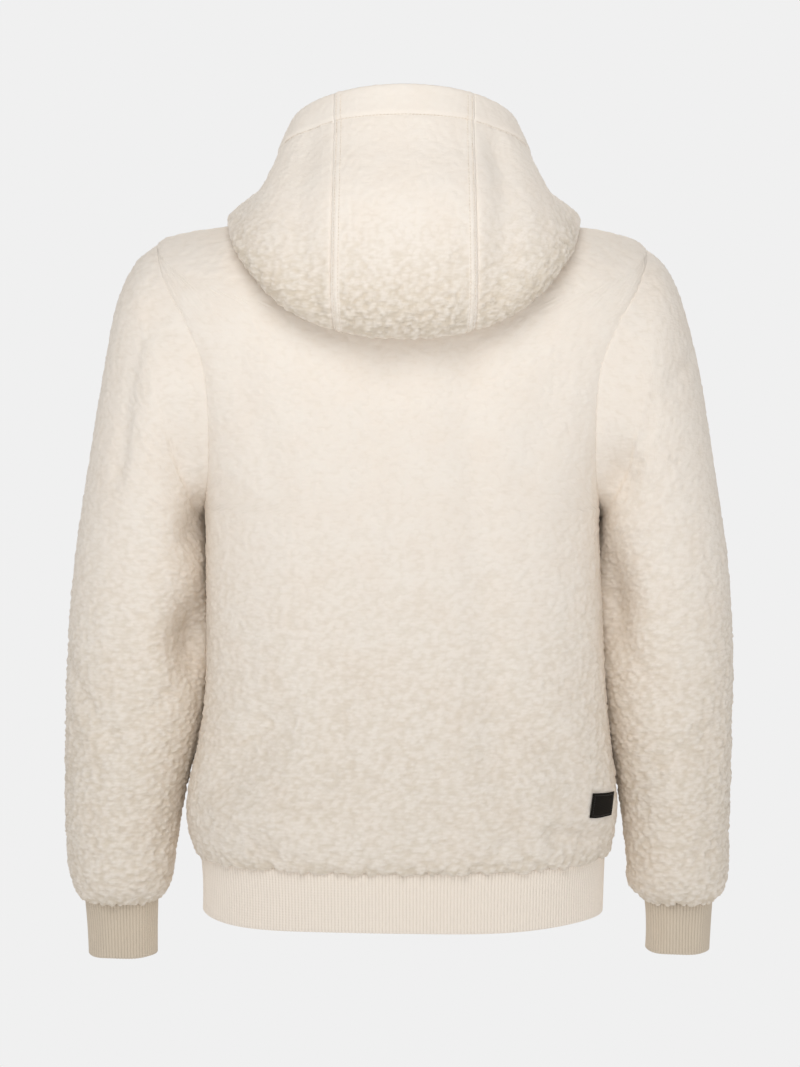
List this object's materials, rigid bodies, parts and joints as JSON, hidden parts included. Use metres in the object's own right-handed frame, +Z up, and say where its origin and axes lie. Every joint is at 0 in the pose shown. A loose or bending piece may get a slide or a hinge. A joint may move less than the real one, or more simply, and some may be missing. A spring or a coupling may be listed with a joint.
{
  "type": "teddy fleece jacket",
  "caption": "Hooded teddy fleece zip jacket, filled out as worn, hood down, ribbed hem and cuffs, blank side label.",
  "frame": {"origin": "middle of the neck opening at the height of the back neck edge, where the wearer's neck and shoulders hold the jacket up", "axes": "+Z up the body, -Y out of the front with its zip, +X towards the wearer's left sleeve"},
  "size_m": [0.671, 0.3174, 0.8557],
  "materials": {
    "fleece": "short curled teddy pile, cream",
    "rib": "fine rib knit, light beige",
    "tape": "woven zip tape with a moulded chain, cream",
    "metal": "nickel-tone die-cast metal",
    "label": "black woven label, blank"
  },
  "bodies": {
    "jacket": {"back": "fleece", "front_left": "fleece", "front_right": "fleece", "sleeve_left": "fleece", "sleeve_right": "fleece", "hood_left": "fleece", "hood_centre": "fleece", "hood_right": "fleece", "hem_rib": "rib", "cuff_left": "rib", "cuff_right": "rib", "zip_tape_left": "tape", "zip_tape_right": "tape", "zip_slider": "metal", "label": "label"},
    "tab": {"pull_tab": "metal"}
  },
  "joints": [
    {"name": "pull_tab_hinge", "type": "hinge", "parent": "jacket", "child": "tab", "pos_m": [0, -0.11016, -0.08716], "axis": [-1, 0, 0], "range_deg": [0, 120]}
  ]
}
